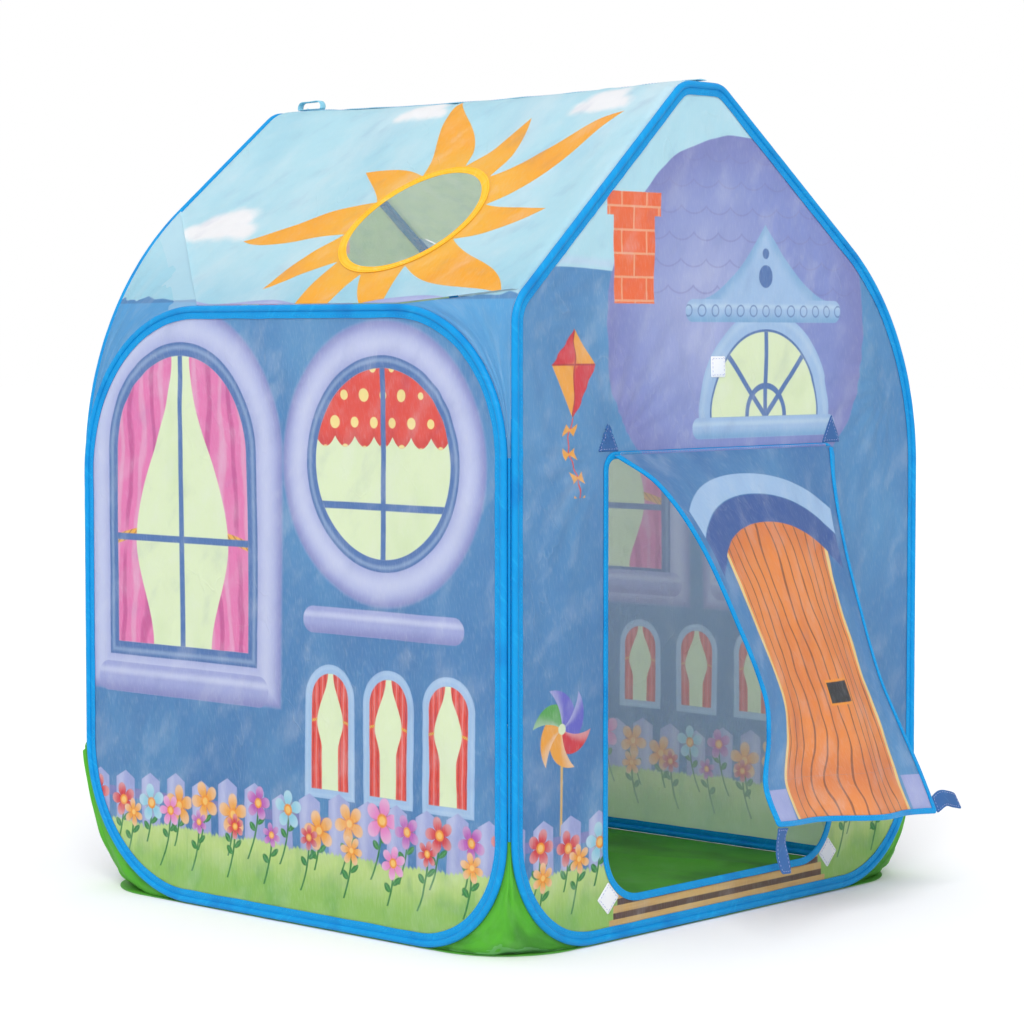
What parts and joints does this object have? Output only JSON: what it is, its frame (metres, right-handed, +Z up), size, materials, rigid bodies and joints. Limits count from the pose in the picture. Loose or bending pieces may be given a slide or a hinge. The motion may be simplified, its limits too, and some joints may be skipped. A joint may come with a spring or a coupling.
{
  "type": "kids play tent",
  "caption": "House-shaped pop-up play tent with spring-wire hoops in tape bindings, fabric walls, pitched roof with net skylight, floor and hinged door flap; folds flat about its corners.",
  "frame": {"origin": "on the ground under the floor sheet, in the middle of the rectangle that the four hoops stand on", "axes": "+Z up; -Y is the way the gable with the door faces; -X is the way the wall below the skylight faces"},
  "size_m": [0.7598, 0.8807, 0.9735],
  "materials": {
    "hoop_tape": "smooth azure polyester tape with a slight sheen",
    "seam_thread": "azure sewing thread",
    "spring_wire": "zinc-plated flat spring wire",
    "wire_sleeve": "crimped steel sleeve",
    "printed_wall": "thin printed polyester taffeta, blue ground",
    "printed_door": "thin printed polyester taffeta, orange boards",
    "plain_blue": "thin plain polyester taffeta",
    "floor_green": "thin coated polyester, bright green",
    "roof_sky": "thin printed polyester taffeta, pale sky",
    "roof_tape": "narrow pale aqua tape",
    "net": "fine white knitted net",
    "yellow_tape": "narrow yellow tape",
    "patch": "white hook-and-loop tape",
    "dark_blue": "doubled dark blue polyester"
  },
  "bodies": {
    "front": {"front_binding": "hoop_tape", "front_wire": "spring_wire", "front_ferrule": "wire_sleeve", "front_panel": "printed_wall", "door_edge_binding": "hoop_tape", "closure_patch_left": "patch", "closure_patch_right": "patch", "hold_up_patch": "patch", "door_corner_patch_left": "dark_blue", "door_corner_patch_right": "dark_blue", "flap_seam": "printed_wall", "floor_sheet": "floor_green", "front_left_foot_gusset": "floor_green", "front_right_foot_gusset": "floor_green", "front_left_eave_gusset": "plain_blue", "front_right_eave_gusset": "plain_blue", "front_left_corner_seam": "seam_thread", "front_right_corner_seam": "seam_thread"},
    "left_wall": {"left_binding": "hoop_tape", "left_wire": "spring_wire", "left_ferrule": "wire_sleeve", "left_panel": "printed_wall"},
    "right_wall": {"right_binding": "hoop_tape", "right_wire": "spring_wire", "right_ferrule": "wire_sleeve", "right_panel": "printed_wall"},
    "rear": {"rear_binding": "hoop_tape", "rear_wire": "spring_wire", "rear_ferrule": "wire_sleeve", "rear_panel": "printed_wall", "rear_left_foot_gusset": "floor_green", "rear_right_foot_gusset": "floor_green", "rear_left_eave_gusset": "plain_blue", "rear_right_eave_gusset": "plain_blue", "rear_left_corner_seam": "seam_thread", "rear_right_corner_seam": "seam_thread"},
    "left_roof": {"left_roof_panel": "roof_sky", "skylight_net": "net", "skylight_binding": "yellow_tape"},
    "right_roof": {"right_roof_panel": "roof_sky", "ridge_tape": "roof_tape", "hanging_loop": "hoop_tape"},
    "flap": {"door_flap": "printed_door", "flap_binding": "hoop_tape", "flap_tab_left": "dark_blue", "flap_tab_right": "dark_blue"}
  },
  "joints": [
    {"name": "left_wall_fold", "type": "hinge", "parent": "front", "child": "left_wall", "pos_m": [-0.3716, -0.3466, 0], "axis": [0, 0, -1], "range_deg": [0, 88], "deforming": ["front_left_foot_gusset", "front_left_eave_gusset"]},
    {"name": "right_wall_fold", "type": "hinge", "parent": "front", "child": "right_wall", "pos_m": [0.3716, -0.3466, 0], "axis": [0, 0, -1], "range_deg": [0, 88], "deforming": ["front_right_foot_gusset", "front_right_eave_gusset"]},
    {"name": "rear_gable_fold", "type": "hinge", "parent": "left_wall", "child": "rear", "pos_m": [-0.3716, 0.3466, 0], "axis": [0, 0, 1], "range_deg": [0, 88], "deforming": ["rear_left_foot_gusset", "rear_left_eave_gusset", "rear_right_foot_gusset", "rear_right_eave_gusset"]},
    {"name": "left_roof_lift", "type": "hinge", "parent": "left_wall", "child": "left_roof", "pos_m": [-0.3714, 0, 0.7065], "axis": [0, -1, 0], "range_deg": [0, 51]},
    {"name": "right_roof_lift", "type": "hinge", "parent": "right_wall", "child": "right_roof", "pos_m": [0.3714, 0, 0.68], "axis": [0, 1, 0], "range_deg": [0, 54]},
    {"name": "flap_swing", "type": "hinge", "parent": "front", "child": "flap", "pos_m": [-0.0075, -0.3548, 0.54], "axis": [-1, 0, 0], "range_deg": [-8, 130]}
  ],
  "couplings": [
    {"joint": "right_wall_fold", "follows": "left_wall_fold", "ratio": 1},
    {"joint": "rear_gable_fold", "follows": "left_wall_fold", "ratio": 1},
    {"joint": "left_roof_lift", "follows": "left_wall_fold", "ratio": 0.5724},
    {"joint": "right_roof_lift", "follows": "left_wall_fold", "ratio": 0.6053}
  ]
}
